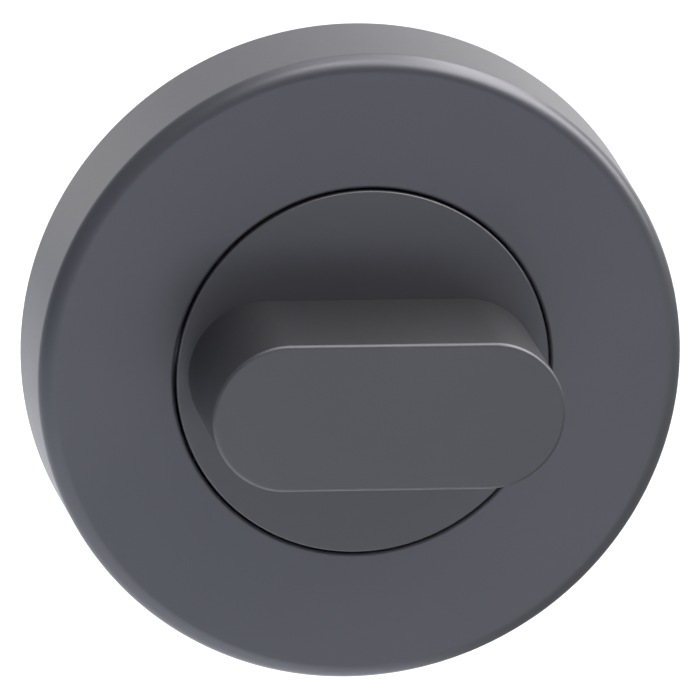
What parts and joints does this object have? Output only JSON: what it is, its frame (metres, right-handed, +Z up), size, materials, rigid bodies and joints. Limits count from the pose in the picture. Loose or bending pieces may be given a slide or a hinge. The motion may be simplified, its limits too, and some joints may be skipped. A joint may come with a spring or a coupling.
{
  "type": "bathroom thumb turn",
  "caption": "Round door rose with a turning disc and an obround thumb grip that drives a square spindle through a bathroom door to work its bolt.",
  "frame": {"origin": "centre of the rose's back, on the face of the door", "axes": "+Y into the door along the spindle, so the grip points along -Y; +Z up; +X to the right of a user who faces the turn; the grip lies level at rest"},
  "size_m": [0.052, 0.0767, 0.052],
  "materials": {
    "graphite_finish": "satin graphite coating",
    "zinc_casting": "tumbled zinc die casting",
    "spring_steel": "phosphated spring steel",
    "plated_steel": "bright zinc plate",
    "acetal": "natural moulded acetal"
  },
  "bodies": {
    "rose": {"rose_cover": "graphite_finish", "base_plate": "zinc_casting", "cover_clip": "spring_steel", "bearing_bush": "acetal"},
    "turn": {"thumb_turn": "graphite_finish", "spindle": "plated_steel", "spindle_pin": "spring_steel", "thrust_washer": "plated_steel", "spring_washer": "spring_steel", "circlip": "spring_steel"}
  },
  "joints": [
    {"name": "turn_rotation", "type": "hinge", "parent": "rose", "child": "turn", "pos_m": [0, 0, 0], "axis": [0, -1, 0], "range_deg": [-90, 90]}
  ]
}
